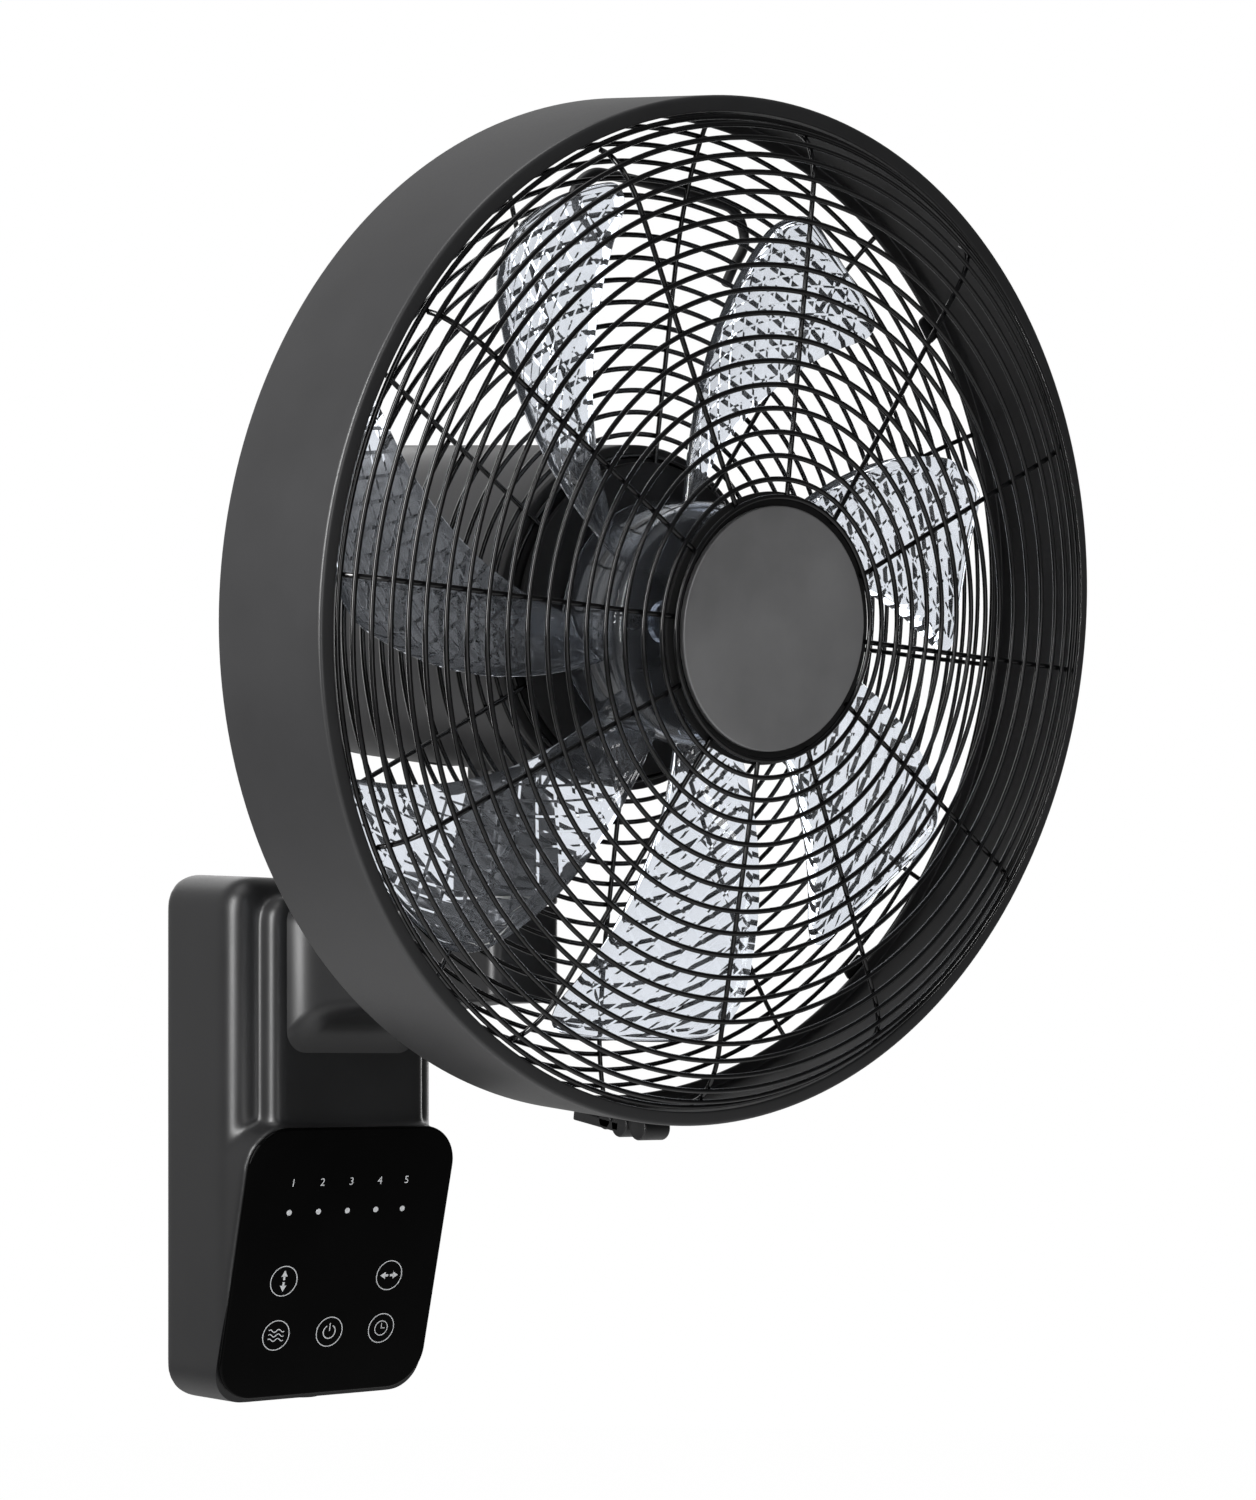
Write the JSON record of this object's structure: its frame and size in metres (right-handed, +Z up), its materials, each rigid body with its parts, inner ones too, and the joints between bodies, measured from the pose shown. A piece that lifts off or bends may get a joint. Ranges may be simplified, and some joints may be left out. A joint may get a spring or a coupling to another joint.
{
  "type": "wall mounted fan",
  "caption": "Round drum fan with wire grilles and clear swept blades on a short arm that swings and tilts, over a wall base with a touch panel.",
  "frame": {"origin": "middle of the back face of the wall bracket", "axes": "+Z up, +Y into the wall, the fan blows towards -Y, +X to the right seen from the front"},
  "size_m": [0.48, 0.4539, 0.6386],
  "materials": {
    "satin_black_plastic": "satin",
    "matt_black_plastic": "matt",
    "black_coated_wire": "semi gloss powder coat",
    "black_glass": "polished, printed black behind",
    "clear_styrene": "clear, moulded with a basket pattern",
    "steel": "bright",
    "zinc_plate": "zinc plated",
    "white_acetal": "natural",
    "copper_winding": "varnished",
    "circuit_board": "solder mask",
    "black_rubber": "matt"
  },
  "bodies": {
    "wall_base": {"wall_bracket": "zinc_plate", "base_shell": "satin_black_plastic", "control_panel": "black_glass", "control_board": "circuit_board", "power_board": "circuit_board", "inlet_gland": "black_rubber", "arm_shell": "satin_black_plastic", "pan_bushing": "white_acetal", "pan_gearmotor": "zinc_plate", "lock_screw_left": "zinc_plate", "lock_screw_right": "zinc_plate"},
    "pan_drive": {"pan_pinion": "white_acetal"},
    "neck_unit": {"neck": "satin_black_plastic", "pan_gear": "white_acetal", "pan_screw": "zinc_plate", "tilt_sector": "white_acetal"},
    "head": {"drum": "satin_black_plastic", "front_grille": "black_coated_wire", "rear_grille": "black_coated_wire", "badge": "satin_black_plastic", "badge_cup": "matt_black_plastic", "motor_housing": "satin_black_plastic", "rear_cover": "satin_black_plastic", "motor_front_cap": "matt_black_plastic", "grille_nut": "matt_black_plastic", "motor_plate": "steel", "stator": "copper_winding", "bearing_front": "steel", "bearing_rear": "steel", "tilt_bracket": "zinc_plate", "tilt_gearmotor": "zinc_plate", "tilt_pin": "steel", "carrying_bar": "satin_black_plastic", "drum_catch": "satin_black_plastic", "grille_clip_1": "matt_black_plastic", "grille_clip_2": "matt_black_plastic", "grille_clip_3": "matt_black_plastic", "grille_clip_4": "matt_black_plastic"},
    "tilt_drive": {"tilt_pinion": "white_acetal"},
    "wheel": {"fan_wheel": "clear_styrene", "hub_nut": "matt_black_plastic", "motor_shaft": "steel", "rotor": "steel", "drive_pin": "steel"}
  },
  "joints": [
    {"name": "pan", "type": "hinge", "parent": "wall_base", "child": "neck_unit", "pos_m": [0, -0.218, 0.12], "axis": [0, 0, 1], "range_deg": [-40, 40]},
    {"name": "pan_pinion_turn", "type": "hinge", "parent": "wall_base", "child": "pan_drive", "pos_m": [0, -0.2, 0.11], "axis": [0, 0, 1], "range_deg": [-81, 81]},
    {"name": "tilt", "type": "hinge", "parent": "neck_unit", "child": "head", "pos_m": [0, -0.218, 0.2726], "axis": [-1, 0, 0], "range_deg": [-10, 25]},
    {"name": "tilt_pinion_turn", "type": "hinge", "parent": "head", "child": "tilt_drive", "pos_m": [0.0173, -0.22418, 0.31009], "axis": [-1, 0, 0], "range_deg": [-54, 134]},
    {"name": "fan_spin", "type": "hinge", "parent": "head", "child": "wheel", "pos_m": [0, -0.40498, 0.24178], "axis": [0, 0.9867, 0.1626], "continuous": true}
  ],
  "couplings": [
    {"joint": "pan_pinion_turn", "follows": "pan", "ratio": -2},
    {"joint": "tilt_pinion_turn", "follows": "tilt", "ratio": 5.3333}
  ]
}
